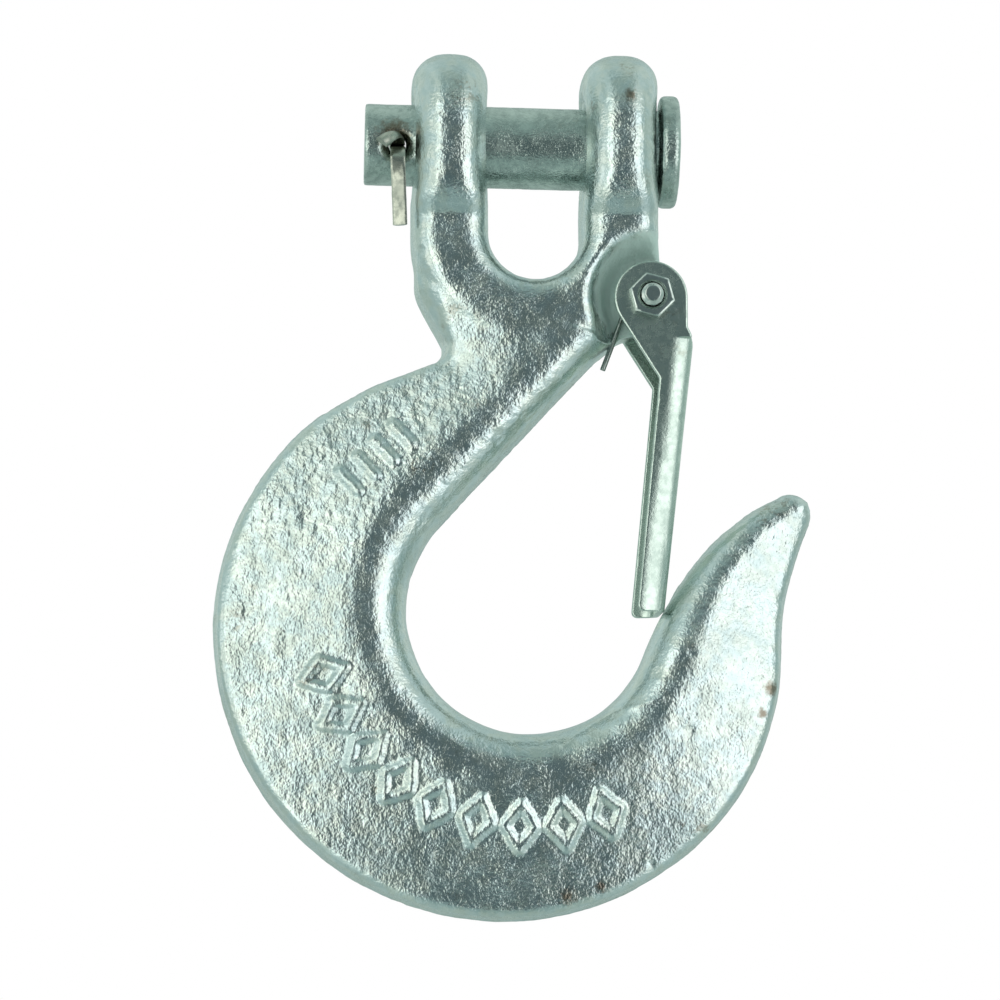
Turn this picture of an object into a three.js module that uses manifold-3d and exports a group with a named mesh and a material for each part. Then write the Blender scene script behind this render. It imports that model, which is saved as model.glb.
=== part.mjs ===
// Clevis slip hook with a spring latch: a forged hook that a pin ties to a chain's last link.
// Millimetres. X runs along the clevis pin, +Z up the hook and Y across it. The origin is on the axis
// of the ears' holes, midway between the ears, and Y = 0 is the plane where the forging dies part.
import * as THREE from 'three';
import { mergeVertices } from 'three/addons/utils/BufferGeometryUtils.js';
import { ParametricGeometry } from 'three/addons/geometries/ParametricGeometry.js';
import Module from 'manifold-3d';

const wasm = await Module();
wasm.setup();

const degrees = THREE.MathUtils.degToRad;
const blend = THREE.MathUtils.lerp;
const at = (x, z) => new THREE.Vector2(x, z);
const around = (centre, radius, angle) =>
  at(centre.x + radius * Math.cos(degrees(angle)), centre.y + radius * Math.sin(degrees(angle)));

// Driving dimensions

const SLOT_HALF = 6.4; // half the gap between the ears, and the crotch's radius
const SLOT_CENTRE_Z = -12.4; // where the crotch's round begins
const EAR_HALF_WIDTH = 5.25;
const EAR_TOP_Z = 12.6;
const EYE_DEPTH = 12.1; // half the ear's size across, level with the pin
const EYE_CENTRE_Z = EAR_TOP_Z - EYE_DEPTH;
const DOME_START_Z = 8.0; // where the ears begin to round over
const DOME_POWER = 2.2; // 2 is an ellipse, more is squarer
const EYE_ROUND = 2.65; // the same of an eye, seen along the pin
const EYE_POWER = 3; // and of the bar's section, at an eye and below it
const BAR_POWER = 4.2;
const BAR_RADIUS = SLOT_HALF + EAR_HALF_WIDTH; // from the bar's middle line to the slot's
const EYE_FOOT_Z = -4; // where the eye starts to turn into the bar, and over what height
const EYE_FOOT_DEPTH = 4;
const BAR_DEPTH = 9.0; // half the forging's thickness at the crotch
const PIN_HOLE_RADIUS = 6.0;
const THROUGH = 30; // far enough from the origin for a cut to go right through
const SPOT_FACE_RADIUS = 7.5;
const SPOT_FACE_CUT = 0.45;

const BOWL_CENTRE = at(-0.7, -64.1);
const BOWL_RADIUS = 16.8;
const BOWL_START = 136.6; // degrees, where the straight shank runs into the bowl
const BOWL_END = 340;
const THROAT_TOP = at(10.5, -27.3);
const NECK_THROAT = at(0.0, -38.6); // the throat side of the narrowest section
const NECK_BACK = at(-12.4, -27.3); // the back side of the same section

const BACK_CENTRE = at(-4.3, -66.8); // the back is three arcs, each tangent to the next
const BACK_RADIUS = 39.3;
const SHOULDER_RADIUS = 37.4;
const SHOULDER_JOIN = 175;
const HEEL_RADIUS = 35.5;
const HEEL_JOIN = 312;
const SHOULDER_CENTRE = around(BACK_CENTRE, BACK_RADIUS - SHOULDER_RADIUS, SHOULDER_JOIN);
const HEEL_CENTRE = around(BACK_CENTRE, BACK_RADIUS - HEEL_RADIUS, HEEL_JOIN);
const SHOULDER_START = 129;

const NOSE_CENTRE = at(35.0, -50.9);
const NOSE_RADIUS = 2.9;
const NOSE_ANGLES = { throat: 131, back: -25, tip: 53 };

const DRAFT = Math.tan(degrees(7)); // taper of the back edge, so that the dies let go
const EDGE_ROUND = 1.1;
const CREST_POWER = 3; // of the round from the throat up to the crest

const PIVOT = at(15.7, -21.5);
const LUG = { front: -1.9, rear: 5.1, radius: 4.4 };
const RECESS = { frontRadius: 5.7, rearRadius: 6.75, slope: 0.36, reach: 8 };
const BOLT_HOLE_RADIUS = 1.7;

const SHEET = 1.0; // thickness of the latch's steel
const LATCH_HALF = 6.5; // half the latch's outer width
const LATCH_RADIUS = 5.0;
const LATCH_KNEE = at(16.8, -32.6);
const LATCH_BOTTOM_Z = -64.4;
const LATCH_TOE_X = 13.8;
const WEB_FOOT = at(17.5, LATCH_BOTTOM_Z); // outer face of the web, bottom
const WEB_HEAD = at(21.5, -28.3); // outer face of the web, top of its straight
const WEB_TOP_Z = -26.6;
const BEND_RADIUS = 1.6;
const CLEARANCE = 0.1; // between the latch and the nut or the bolt's head

const BOLT = { radius: 1.5, tip: -10.1, headHeight: 2.0, endRadius: 0.95, chamfer: 0.5 };
const HEX = { across: 5.5, height: 2.4, turn: 45, bore: 1.7, mouth: 1.95 };

const WIRE_RADIUS = 0.375;
const COIL = { radius: 2.62, armY: -4.9, tailY: -2.5, turns: 2, startAngle: 2.6, endAngle: 160.5 };
const SPRING_TAIL = at(9.3, -31.1); // end of the leg that bears on the shank
const SPRING_ARM = at(18.9, -36.5); // end of the leg that bears on the latch
const ARM_Y = -3.6;

const PIN = { radius: 5.6, end: -23.3, shoulder: 17.2, headEnd: 19.8, headRadius: 7.75 };
const PIN_TILT = 1.07; // degrees, the pin lies askew in its loose holes
const CROSS_HOLE = { x: -18.8, bore: 1.25, mouth: 2.3, flare: 0.75, reach: 10, droop: 12 };
const COTTER = {
  radius: 1.0, gap: 0.08, bend: 2.1, reach: 5.4, eye: 1.5, eyeAt: -8.6, tip: -12.2, lean: 0.35,
};

// Helpers

function skin(rows) {
  const middle = (row) => row.reduce((sum, p) => sum.add(p), new THREE.Vector3()).divideScalar(row.length);
  const closing = (row) => row.map(() => middle(row));
  const closed = [closing(rows[0]), ...rows, closing(rows.at(-1))];
  const sides = rows[0].length;
  const place = (u, v, target) =>
    target.copy(closed[Math.round(v * (closed.length - 1))][Math.round(u * sides) % sides]);
  return new ParametricGeometry(place, sides, closed.length - 1);
}

function solidOf(geometry) {
  const bare = new THREE.BufferGeometry();
  bare.setAttribute('position', geometry.getAttribute('position'));
  bare.setIndex(geometry.getIndex());
  const merged = mergeVertices(bare, 1e-3);
  const corners = [...merged.getIndex().array];
  const triVerts = [];
  for (let i = 0; i < corners.length; i += 3) {
    const [a, b, c] = corners.slice(i, i + 3);
    if (a !== b && b !== c && c !== a) triVerts.push(a, b, c);
  }
  const vertProperties = merged.getAttribute('position').array;
  const mesh = new wasm.Mesh({ numProp: 3, vertProperties, triVerts: new Uint32Array(triVerts) });
  return new wasm.Manifold(mesh);
}

function geometryOf(solid) {
  const { vertProperties, triVerts } = solid.getMesh();
  const geometry = new THREE.BufferGeometry();
  geometry.setAttribute('position', new THREE.BufferAttribute(vertProperties, 3));
  geometry.setIndex(new THREE.BufferAttribute(triVerts, 1));
  geometry.computeVertexNormals();
  return geometry;
}

// A flat outline in X and Z, given thickness between two depths in Y.
function plate(shape, yFrom, yTo, curveSegments = 8) {
  const depth = yTo - yFrom;
  const geometry = new THREE.ExtrudeGeometry(shape, { depth, bevelEnabled: false, curveSegments });
  return geometry.rotateX(Math.PI / 2).translate(0, yTo, 0);
}

// A turned piece on an axis along Y. Each profile point is [radius, y], from the front end to the rear.
function turned(profile, segments) {
  return new THREE.LatheGeometry(profile.map(([radius, y]) => at(radius, y)), segments);
}

const onPivot = (geometry) => geometry.translate(PIVOT.x, 0, PIVOT.y);
const alongX = (geometry) => geometry.rotateZ(-Math.PI / 2);
const drum = (radius, from, to, segments) =>
  turned([[0, from], [radius, from], [radius, to], [0, to]], segments);

// The corner of a rounded oval at an angle, as [across, depth].
function oval(angle, across, depth, power) {
  const bend = (value) => Math.sign(value) * Math.abs(value) ** (2 / power);
  return [across * bend(Math.cos(angle)), depth * bend(Math.sin(angle))];
}

// A section swept along a curve. Its first coordinate lies along `width`, the other square to it.
function sweep(curve, section, width, steps) {
  const rows = [];
  for (let i = 0; i <= steps; i++) {
    const centre = curve.getPoint(i / steps);
    const along = curve.getTangent(i / steps);
    const wide = width.clone().addScaledVector(along, -width.dot(along)).normalize();
    const deep = along.clone().cross(wide);
    rows.push(section.map(([w, d]) => centre.clone().addScaledVector(wide, w).addScaledVector(deep, d)));
  }
  return skin(rows);
}

// Hook body: the clevis bar, bent in a U with an eye at each end

const BAR_SIDES = 22; // corners in one section of the bar

// Seen along the pin an eye is a squarish disc, which stands out of the bar below it.
function earDepth(z) {
  const away = Math.abs(z - EYE_CENTRE_Z) / EYE_DEPTH;
  const disc = EYE_DEPTH * Math.max(1 - away ** EYE_ROUND, 0) ** (1 / EYE_ROUND);
  return z > EYE_CENTRE_Z ? disc : Math.max(disc, BAR_DEPTH);
}

function earHalfWidth(z) {
  const rise = Math.max(z - DOME_START_Z, 0) / (EAR_TOP_Z - DOME_START_Z);
  return EAR_HALF_WIDTH * Math.max(1 - rise ** DOME_POWER, 0) ** (1 / DOME_POWER);
}

function earPower(z) {
  return blend(EYE_POWER, BAR_POWER, THREE.MathUtils.clamp((EYE_FOOT_Z - z) / EYE_FOOT_DEPTH, 0, 1));
}

function barRow(centre, outward, halfWidth, depth, power) {
  const row = [];
  for (let i = 0; i < BAR_SIDES; i++) {
    const [out, y] = oval((i / BAR_SIDES) * 2 * Math.PI, halfWidth, depth, power);
    row.push(new THREE.Vector3(centre.x + outward.x * out, y, centre.y + outward.y * out));
  }
  return row;
}

function clevisBar() {
  const domeSteps = 6;
  const straightSteps = 10;
  const crotchSteps = 14;
  const heights = [];
  for (let i = 0; i < domeSteps; i++) {
    heights.push(blend(DOME_START_Z, EAR_TOP_Z, Math.cos(((i + 0.12) / domeSteps) * (Math.PI / 2))));
  }
  for (let i = 0; i < straightSteps; i++) heights.push(blend(DOME_START_Z, SLOT_CENTRE_Z, i / straightSteps));
  const earRow = (side, z) =>
    barRow(at(side * BAR_RADIUS, z), at(side, 0), earHalfWidth(z), earDepth(z), earPower(z));
  const ear = (side) => heights.map((z) => earRow(side, z));
  const crotch = [];
  for (let i = 0; i <= crotchSteps; i++) {
    const outward = around(at(0, 0), 1, 180 + (180 * i) / crotchSteps);
    const centre = outward.clone().multiplyScalar(BAR_RADIUS).add(at(0, SLOT_CENTRE_Z));
    crotch.push(barRow(centre, outward, EAR_HALF_WIDTH, BAR_DEPTH, BAR_POWER));
  }
  return skin([...ear(-1), ...crotch, ...ear(1).reverse()]);
}

// Hook body: shank, bowl and tip, one loft between the throat's line and the back's line

function arc(centre, radius, from, to) {
  return new THREE.EllipseCurve(centre.x, centre.y, radius, radius, degrees(from), degrees(to), to < from);
}

function backOfBowl() {
  const path = new THREE.CurvePath();
  path.add(arc(SHOULDER_CENTRE, SHOULDER_RADIUS, SHOULDER_START, SHOULDER_JOIN));
  path.add(arc(BACK_CENTRE, BACK_RADIUS, SHOULDER_JOIN, HEEL_JOIN));
  path.add(arc(HEEL_CENTRE, HEEL_RADIUS, HEEL_JOIN, 360));
  return path;
}

// Each leg of the loft runs between two stations. A station says how thick the hook is at its crest and
// at its back edge, as half thicknesses, and how far the crest lies from the throat.
const STATIONS = {
  yoke: { crest: 9.0, edge: 8.2, crestAt: 5.8 },
  neck: { crest: 9.0, edge: 7.2, crestAt: 5.6 },
  shoulder: { crest: 9.0, edge: 5.9, crestAt: 6.4 },
  heel: { crest: 8.2, edge: 4.6, crestAt: 5.8 },
  nose: { crest: 4.2, edge: 3.2, crestAt: 2.9 },
  end: { crest: 0, edge: 0, crestAt: 0 },
};

function hookLegs() {
  const bowlStart = around(BOWL_CENTRE, BOWL_RADIUS, BOWL_START);
  const bowlEnd = around(BOWL_CENTRE, BOWL_RADIUS, BOWL_END);
  const backStart = around(SHOULDER_CENTRE, SHOULDER_RADIUS, SHOULDER_START);
  const heelEnd = around(HEEL_CENTRE, HEEL_RADIUS, 360);
  const noseThroat = around(NOSE_CENTRE, NOSE_RADIUS, NOSE_ANGLES.throat);
  const noseBack = around(NOSE_CENTRE, NOSE_RADIUS, NOSE_ANGLES.back);
  const { yoke, neck, shoulder, heel, nose, end } = STATIONS;
  return [
    {
      throat: new THREE.LineCurve(THROAT_TOP, NECK_THROAT),
      back: new THREE.LineCurve(at(-15.0, -20.5), NECK_BACK),
      from: yoke, to: neck, steps: 5,
    },
    {
      throat: new THREE.LineCurve(NECK_THROAT, bowlStart),
      back: new THREE.SplineCurve([NECK_BACK, at(-13.1, -29.5), at(-16.3, -31.0), at(-23, -33.7), backStart]),
      from: neck, to: shoulder, steps: 10,
    },
    {
      throat: arc(BOWL_CENTRE, BOWL_RADIUS, BOWL_START, BOWL_END),
      back: backOfBowl(),
      from: shoulder, to: heel, steps: 24,
    },
    {
      throat: new THREE.CubicBezierCurve(bowlEnd, at(16.7, -65.7), at(21.9, -53.5), noseThroat),
      back: new THREE.CubicBezierCurve(heelEnd, at(33.6, -63.2), at(35.6, -56.9), noseBack),
      from: heel, to: nose, steps: 9,
    },
    {
      throat: arc(NOSE_CENTRE, NOSE_RADIUS, NOSE_ANGLES.throat, NOSE_ANGLES.tip),
      back: arc(NOSE_CENTRE, NOSE_RADIUS, NOSE_ANGLES.back, NOSE_ANGLES.tip),
      from: nose, to: end, steps: 5, closes: true,
    },
  ];
}

// Half of a section, from the throat over the crest to the back, as [across, depth] points.
function halfSection(width, crest, edge, crestAt) {
  const roundSteps = 6;
  const slopeSteps = 3;
  const cornerSteps = 3;
  const points = [];
  for (let i = 0; i <= roundSteps; i++) {
    const [x, y] = oval(Math.PI - (i / roundSteps) * (Math.PI / 2), crestAt, crest, CREST_POWER);
    points.push(at(crestAt + x, y));
  }
  const top = at(crestAt, crest);
  const corner = at(width - edge * DRAFT, edge);
  const foot = at(width, 0);
  const cut = Math.min(EDGE_ROUND, edge / 2, corner.distanceTo(top) / 2);
  const before = corner.clone().add(top.clone().sub(corner).setLength(cut));
  const after = corner.clone().add(foot.clone().sub(corner).setLength(cut));
  for (let i = 1; i < slopeSteps; i++) points.push(top.clone().lerp(before, i / slopeSteps));
  points.push(...new THREE.QuadraticBezierCurve(before, corner, after).getPoints(cornerSteps));
  points.push(after.clone().lerp(foot, 0.5), foot);
  return points;
}

function hookRow(leg, share) {
  const throat = leg.throat.getPointAt(share);
  const back = leg.back.getPointAt(share);
  const fade = leg.closes ? 1 - Math.sqrt(1 - share ** 2) : share;
  const between = (key) => blend(leg.from[key], leg.to[key], fade);
  const width = throat.distanceTo(back);
  const inward = back.clone().sub(throat).normalize();
  const half = halfSection(width, between('crest'), between('edge'), between('crestAt'));
  const rear = half.slice(1, -1).reverse().map((p) => at(p.x, -p.y));
  return [...half, ...rear].map(
    (p) => new THREE.Vector3(throat.x + inward.x * p.x, -p.y, throat.y + inward.y * p.x));
}

function hookBow() {
  const rows = [];
  for (const leg of hookLegs()) {
    for (let i = 0; i < leg.steps; i++) rows.push(hookRow(leg, i / leg.steps));
    if (leg.closes) rows.push(hookRow(leg, 0.95));
  }
  return skin(rows);
}

// Hook body: the lug that carries the latch, and the cuts

function lug() {
  const shape = new THREE.Shape();
  shape.moveTo(2, -25);
  shape.lineTo(8, -14);
  shape.lineTo(16.4, -13.4);
  shape.quadraticCurveTo(17.2, -16.2, 19.4, -19.2);
  shape.absarc(PIVOT.x, PIVOT.y, LUG.radius, degrees(32), degrees(-62), true);
  shape.lineTo(13.4, -26.2);
  shape.lineTo(11.2, -26.6);
  shape.lineTo(9, -28);
  return plate(shape, LUG.front, LUG.rear, 10);
}

// A cone round the pivot that bares one face of the lug, with room for the latch's cheek.
function recess(face, side, radius) {
  const rim = radius + RECESS.slope * RECESS.reach;
  const outer = face + side * RECESS.reach;
  const profile = [[0, face], [radius, face], [rim, outer], [0, outer]];
  return onPivot(turned(side > 0 ? profile : profile.reverse(), 32));
}

function hookBody() {
  const faces = [[-THROUGH, -BAR_RADIUS - EAR_HALF_WIDTH + SPOT_FACE_CUT],
    [-SLOT_HALF - SPOT_FACE_CUT, SLOT_HALF + SPOT_FACE_CUT],
    [BAR_RADIUS + EAR_HALF_WIDTH - SPOT_FACE_CUT, THROUGH]];
  let solid = solidOf(clevisBar()).add(solidOf(hookBow()));
  solid = solid.subtract(solidOf(recess(LUG.front, -1, RECESS.frontRadius)));
  solid = solid.subtract(solidOf(recess(LUG.rear, 1, RECESS.rearRadius)));
  solid = solid.add(solidOf(lug()));
  solid = solid.subtract(solidOf(alongX(drum(PIN_HOLE_RADIUS, -THROUGH, THROUGH, 36))));
  for (const [from, to] of faces) {
    solid = solid.subtract(solidOf(alongX(drum(SPOT_FACE_RADIUS, from, to, 36))));
  }
  solid = solid.subtract(solidOf(onPivot(drum(BOLT_HOLE_RADIUS, -THROUGH, THROUGH, 24))));
  return geometryOf(solid);
}

// Clevis pin: a headed pin with a cross hole for the split pin

function clevisPin() {
  const { radius, end, shoulder, headEnd, headRadius } = PIN;
  const profile = [[0, end], [radius - 0.3, end], [radius, end + 0.3], [radius, shoulder],
    [headRadius - 0.5, shoulder], [headRadius, shoulder + 0.5], [headRadius, headEnd - 0.6],
    [headRadius - 0.6, headEnd], [0, headEnd]];
  const { x, bore, mouth, flare, reach, droop } = CROSS_HOLE;
  const waist = radius - (mouth - bore) / flare;
  const rim = mouth + flare * (reach - radius);
  const waisted = [[0, -reach], [rim, -reach], [bore, -waist], [bore, waist], [rim, reach], [0, reach]];
  const hole = turned(waisted, 24).rotateX(degrees(droop)).translate(x, 0, 0);
  return geometryOf(solidOf(alongX(turned(profile, 40))).subtract(solidOf(hole)));
}

// Split pin: one half-round wire doubled through the cross hole, its eye at the rear. The long leg is
// bent down over the pin's front and the short one is turned out to the side.

function splitPin() {
  const droop = degrees(CROSS_HOLE.droop);
  const { radius, gap, bend, reach, eye, eyeAt, tip, lean } = COTTER;
  const point = (x, forward, up) => new THREE.Vector3(CROSS_HOLE.x + x,
    -forward * Math.cos(droop) - up * Math.sin(droop), -forward * Math.sin(droop) + up * Math.cos(droop));
  const bent = [];
  for (let i = 0; i <= 4; i++) {
    const angle = (i / 4) * (Math.PI / 2 - droop);
    bent.push(point(0, reach + bend * Math.sin(angle), -gap - bend * (1 - Math.cos(angle))));
  }
  const knee = bent.at(-1);
  const leg = [1, 0.66, 0.33].map((share) =>
    new THREE.Vector3(knee.x + lean * share, knee.y, blend(knee.z, tip, share)));
  const loop = [];
  for (let angle = -120; angle <= 120; angle += 30) {
    loop.push(point(0, eyeAt - eye * Math.cos(degrees(angle)), eye * Math.sin(degrees(angle))));
  }
  const path = new THREE.CatmullRomCurve3([
    ...leg, ...bent.reverse(), point(0, 2, -gap), point(0, -2, -gap), point(0, -5.8, -gap), ...loop,
    point(0, -5.8, gap), point(0, -2, gap), point(0, 2, gap), point(0, 5.0, gap + 0.1), point(-0.3, 6.6, 0.6),
    point(-1.2, 8.0, 0.7), point(-2.4, 8.9, 0.4),
  ], false, 'centripetal');
  const section = [];
  for (let i = 0; i <= 6; i++) {
    const angle = (i / 6) * Math.PI;
    section.push([radius * Math.cos(angle), radius * Math.sin(angle)]);
  }
  return sweep(path, section, new THREE.Vector3(1, 0, 0), 64);
}

// Latch: a channel of pressed sheet, open towards the throat, with a web along its outer side

function cheekOutline() {
  const reach = PIVOT.distanceTo(LATCH_KNEE);
  const toKnee = THREE.MathUtils.radToDeg(LATCH_KNEE.clone().sub(PIVOT).angle());
  const touch = toKnee - THREE.MathUtils.radToDeg(Math.acos(LATCH_RADIUS / reach));
  const shape = new THREE.Shape();
  shape.moveTo(LATCH_TOE_X, LATCH_BOTTOM_Z + 0.6);
  shape.quadraticCurveTo(LATCH_TOE_X, LATCH_BOTTOM_Z, LATCH_TOE_X + 0.6, LATCH_BOTTOM_Z);
  shape.lineTo(WEB_FOOT.x, WEB_FOOT.y);
  shape.lineTo(WEB_HEAD.x, WEB_HEAD.y);
  shape.quadraticCurveTo(WEB_HEAD.x, -27.0, PIVOT.x + LATCH_RADIUS, -26.0);
  shape.absarc(PIVOT.x, PIVOT.y, LATCH_RADIUS, 0, degrees(touch), false);
  shape.lineTo(LATCH_KNEE.x, LATCH_KNEE.y);
  return shape;
}

// A bar with the web's bends along two of its edges, which rounds the channel's outer corners.
function bentBar() {
  const up = WEB_HEAD.clone().sub(WEB_FOOT).normalize();
  const shape = new THREE.Shape();
  shape.moveTo(-20, -LATCH_HALF);
  shape.lineTo(-BEND_RADIUS, -LATCH_HALF);
  shape.absarc(-BEND_RADIUS, BEND_RADIUS - LATCH_HALF, BEND_RADIUS, degrees(-90), 0, false);
  shape.absarc(-BEND_RADIUS, LATCH_HALF - BEND_RADIUS, BEND_RADIUS, 0, degrees(90), false);
  shape.lineTo(-20, LATCH_HALF);
  const bar = new THREE.ExtrudeGeometry(shape, { depth: 60, bevelEnabled: false, curveSegments: 6 });
  const foot = WEB_FOOT.clone().addScaledVector(up, -5);
  const place = new THREE.Matrix4().makeBasis(
    new THREE.Vector3(up.y, 0, -up.x), new THREE.Vector3(0, 1, 0), new THREE.Vector3(up.x, 0, up.y));
  return bar.applyMatrix4(place.setPosition(foot.x, 0, foot.y));
}

function channelInside() {
  const up = WEB_HEAD.clone().sub(WEB_FOOT).normalize();
  const inner = (z) => at(WEB_FOOT.x - SHEET / up.y + ((z - WEB_FOOT.y) * up.x) / up.y, z);
  const below = LATCH_BOTTOM_Z - 5;
  const above = PIVOT.y + LATCH_RADIUS + 5;
  const beyond = WEB_HEAD.x + 5;
  const shape = new THREE.Shape([
    at(0, below), inner(below), inner(WEB_TOP_Z), at(beyond, WEB_TOP_Z), at(beyond, above), at(0, above)]);
  return plate(shape, SHEET - LATCH_HALF, LATCH_HALF - SHEET);
}

function latch() {
  const outer = solidOf(plate(cheekOutline(), -LATCH_HALF, LATCH_HALF, 14)).intersect(solidOf(bentBar()));
  const hole = onPivot(drum(BOLT_HOLE_RADIUS, -THROUGH, THROUGH, 24));
  return geometryOf(outer.subtract(solidOf(channelInside())).subtract(solidOf(hole)));
}

// Bolt, nut and torsion spring on the pivot

function hexPrism(from, to) {
  const radius = HEX.across / 2 / Math.cos(degrees(30));
  const prism = new THREE.CylinderGeometry(radius, radius, to - from, 6);
  prism.rotateY(degrees(HEX.turn)).translate(0, (from + to) / 2, 0);
  const flat = HEX.across / 2 + 0.02;
  const cap = radius + 0.05;
  const drop = 0.25;
  const chamfered = [[0, from], [flat, from], [cap, from + drop], [cap, to - drop], [flat, to], [0, to]];
  const round = turned(chamfered, 36);
  return solidOf(onPivot(prism)).intersect(solidOf(onPivot(round)));
}

function latchNut() {
  const back = -LATCH_HALF - CLEARANCE;
  const front = back - HEX.height;
  const { bore, mouth } = HEX;
  const countersink = mouth - bore;
  const thread = turned([[0, front - 1], [mouth, front - 1], [mouth, front], [bore, front + countersink],
    [bore, back + 1], [0, back + 1]], 24);
  return geometryOf(hexPrism(front, back).subtract(solidOf(onPivot(thread))));
}

function latchBolt() {
  const seat = LATCH_HALF + CLEARANCE;
  const { radius, tip, headHeight, endRadius, chamfer } = BOLT;
  const root = seat + 1;
  const shank = turned([[0, tip], [endRadius, tip], [radius, tip + chamfer], [radius, root], [0, root]], 24);
  return geometryOf(hexPrism(seat, seat + headHeight).add(solidOf(onPivot(shank))));
}

function latchSpring() {
  const { radius, armY, tailY, turns, startAngle, endAngle } = COIL;
  const sweepAngle = endAngle - startAngle + 360 * turns;
  const coil = [];
  const steps = 10 * turns + 4;
  for (let i = 0; i <= steps; i++) {
    const place = around(PIVOT, radius, startAngle + (sweepAngle * i) / steps);
    coil.push(new THREE.Vector3(place.x, blend(armY, tailY, i / steps), place.y));
  }
  const [first, last] = [coil[0], coil.at(-1)];
  const arm = new THREE.Vector3(SPRING_ARM.x, ARM_Y, SPRING_ARM.y);
  const tail = new THREE.Vector3(SPRING_TAIL.x, tailY, SPRING_TAIL.y);
  const straight = (a, b, shares) => shares.map((share) => a.clone().lerp(b, share));
  const path = new THREE.CatmullRomCurve3([
    ...straight(arm, first, [0, 0.3, 0.6, 0.85]), ...coil, ...straight(last, tail, [0.2, 0.5, 0.75, 1]),
  ], false, 'centripetal');
  const section = [];
  for (let i = 0; i < 8; i++) {
    const angle = (i / 8) * 2 * Math.PI;
    section.push([WIRE_RADIUS * Math.cos(angle), WIRE_RADIUS * Math.sin(angle)]);
  }
  return sweep(path, section, new THREE.Vector3(0, 1, 0), 96);
}

// The assembly

const zincForging = new THREE.MeshStandardMaterial({ color: 0xa9b4b3, roughness: 0.42, metalness: 0.9 });
const greySteel = new THREE.MeshStandardMaterial({ color: 0x7d8782, roughness: 0.45, metalness: 0.9 });
const latchSteel = new THREE.MeshStandardMaterial({ color: 0x9aa5a3, roughness: 0.35, metalness: 0.95 });
const fastenerSteel = new THREE.MeshStandardMaterial({ color: 0xa4adab, roughness: 0.3, metalness: 0.95 });
const springSteel = new THREE.MeshStandardMaterial({ color: 0x858f8c, roughness: 0.3, metalness: 0.95 });

function piece(name, geometry, material) {
  const mesh = new THREE.Mesh(geometry, material);
  mesh.name = name;
  return mesh;
}

const group = new THREE.Group();
group.add(
  piece('hook_body', hookBody(), zincForging),
  piece('latch', latch(), latchSteel),
  piece('latch_bolt', latchBolt(), fastenerSteel),
  piece('latch_nut', latchNut(), fastenerSteel),
  piece('latch_spring', latchSpring(), springSteel),
);

// The pin and the split pin through it, tilted together in the ears' holes.
const pinSet = new THREE.Group();
pinSet.rotation.y = degrees(PIN_TILT);
pinSet.add(piece('clevis_pin', clevisPin(), greySteel), piece('split_pin', splitPin(), greySteel));
group.add(pinSet);

export default group;
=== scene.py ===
import math

import bpy
import numpy as np
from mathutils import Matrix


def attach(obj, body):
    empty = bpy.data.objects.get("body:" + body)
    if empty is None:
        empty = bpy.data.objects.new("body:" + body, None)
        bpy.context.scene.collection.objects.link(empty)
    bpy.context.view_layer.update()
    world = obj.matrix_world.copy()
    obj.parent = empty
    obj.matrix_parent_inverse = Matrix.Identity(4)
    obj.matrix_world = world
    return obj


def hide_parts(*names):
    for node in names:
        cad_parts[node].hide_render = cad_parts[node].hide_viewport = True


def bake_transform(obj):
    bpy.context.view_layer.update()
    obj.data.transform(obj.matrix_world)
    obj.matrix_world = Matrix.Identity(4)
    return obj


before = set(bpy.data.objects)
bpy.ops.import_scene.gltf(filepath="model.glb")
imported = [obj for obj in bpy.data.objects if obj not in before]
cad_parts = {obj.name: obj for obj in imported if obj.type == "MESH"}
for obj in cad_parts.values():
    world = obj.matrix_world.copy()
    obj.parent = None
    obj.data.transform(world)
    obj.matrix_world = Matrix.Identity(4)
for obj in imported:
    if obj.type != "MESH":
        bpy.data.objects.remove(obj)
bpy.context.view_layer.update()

import openvdb as vdb
from mathutils import Vector

# Clevis slip hook with a spring latch. Everything is worked out in millimetres and made in metres.
# The frame is the CAD's: X along the clevis pin, +Z up, the front at -Y, the origin between the ears' holes.

MM = 0.001


def at(x, z):
    return np.array([x, z], float)


# Dimensions, as in the CAD but for the eyes' lower halves (EYE_FALL) and slightly wider recesses

SLOT_HALF, SLOT_CENTRE_Z = 6.4, -12.4
EAR_HALF_WIDTH, EAR_TOP_Z, EYE_DEPTH, BAR_DEPTH = 5.25, 12.6, 12.1, 9.0
EYE_CENTRE_Z = EAR_TOP_Z - EYE_DEPTH
DOME_START_Z, DOME_POWER, EYE_POWER, BAR_POWER = 8.0, 2.2, 3.0, 4.2
EYE_ROUND, EYE_FALL = 2.65, 13.8
EYE_FOOT_Z, EYE_FOOT_DEPTH, EYE_FOOT_FILLET = -5.5, 4.0, 0.8
BAR_RADIUS = SLOT_HALF + EAR_HALF_WIDTH
PIN_HOLE_RADIUS, SPOT_FACE_RADIUS, SPOT_FACE_CUT = 6.0, 7.5, 0.45

BOWL_CENTRE, BOWL_RADIUS, BOWL_START, BOWL_END = at(-0.7, -64.1), 16.8, 136.6, 340
THROAT_TOP, NECK_THROAT, NECK_BACK = at(10.5, -27.3), at(0.0, -38.6), at(-12.4, -27.3)
BACK_CENTRE, BACK_RADIUS = at(-4.3, -66.8), 39.3
SHOULDER_RADIUS, SHOULDER_JOIN, SHOULDER_START = 37.4, 175, 129
HEEL_RADIUS, HEEL_JOIN = 35.5, 312
NOSE_CENTRE, NOSE_RADIUS = at(35.0, -50.9), 2.9
NOSE_THROAT, NOSE_BACK, NOSE_TIP = 131, -25, 53
DRAFT = math.tan(math.radians(7))
EDGE_ROUND, CREST_POWER = 1.1, 3.0

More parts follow.
